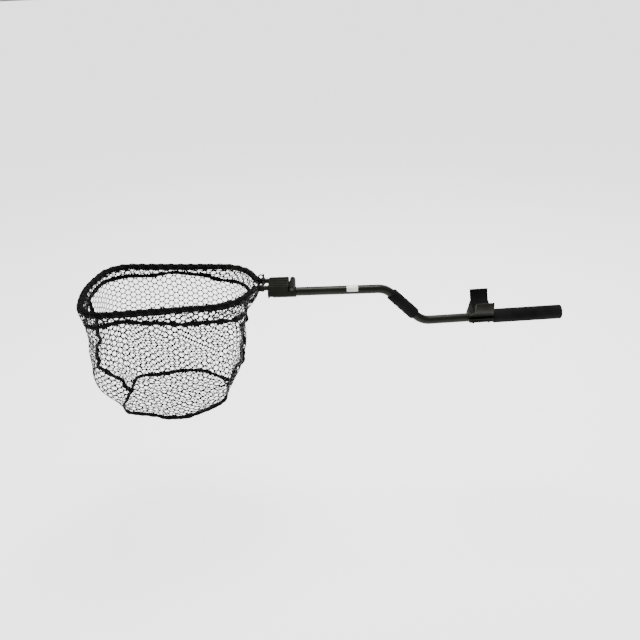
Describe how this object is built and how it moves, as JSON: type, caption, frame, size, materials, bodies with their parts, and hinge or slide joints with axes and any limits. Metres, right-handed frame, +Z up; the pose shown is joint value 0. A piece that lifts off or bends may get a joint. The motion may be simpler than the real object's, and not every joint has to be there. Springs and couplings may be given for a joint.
{
  "type": "folding landing net",
  "caption": "One-handed landing net: bent handle with forearm cuff and float sleeve, fold-over locking hub, rounded open hoop and deep rubber-coated mesh bag.",
  "frame": {"origin": "middle of the hand grip, on its axis", "axes": "+X along the handle towards the butt (the hoop is at -X), +Z up out of the bag's mouth, +Y to the left of someone who looks along +X, from the hoop towards the butt"},
  "size_m": [1.209, 0.309, 0.3315],
  "materials": {
    "tube": "black anodised, satin",
    "foam": "closed-cell foam, matt black",
    "shell": "fine spark texture, black",
    "steel": "black-oxide fasteners",
    "spring": "spring wire",
    "label": "blank white film",
    "netting": "rubber-coated knotless mesh, black",
    "welt": "black woven binding and lacing cord"
  },
  "bodies": {
    "handle": {"handle_tube": "tube", "float_core": "foam", "butt_plug": "shell", "hand_grip": "foam", "butt_sleeve": "foam", "tube_label": "label", "forearm_cuff": "shell", "cuff_liner": "foam", "cuff_screws": "steel", "cuff_clamp": "shell", "hub_base": "shell", "tube_bolts": "steel", "tube_nuts": "steel", "hinge_pin": "steel", "pin_clip": "steel", "hinge_washers": "shell", "lock_retainer": "shell", "retainer_screws": "steel", "lock_spring": "spring"},
    "hoop": {"yoke_lower": "shell", "yoke_cover": "shell", "yoke_screws": "steel", "arm_pins": "steel", "hoop_tube": "tube", "throat_brace": "shell", "rim_lacing": "welt", "net_band": "netting", "band_seam": "welt", "net_wall_front": "netting", "net_wall_rear": "netting", "net_bottom": "netting", "far_seam": "welt", "near_seam": "welt", "bottom_seam": "welt"},
    "lock": {"lock_bar": "shell"}
  },
  "joints": [
    {"name": "hoop_fold", "type": "hinge", "parent": "handle", "child": "hoop", "pos_m": [-0.276, 0, 0.065], "axis": [0, 1, 0], "range_deg": [0, 180]},
    {"name": "lock_press", "type": "slide", "parent": "handle", "child": "lock", "axis": [1, 0, 0], "range_m": [0, 0.004], "stiffness_N_per_m": 600, "springref_m": -0.004, "deforming": ["lock_spring"]}
  ]
}
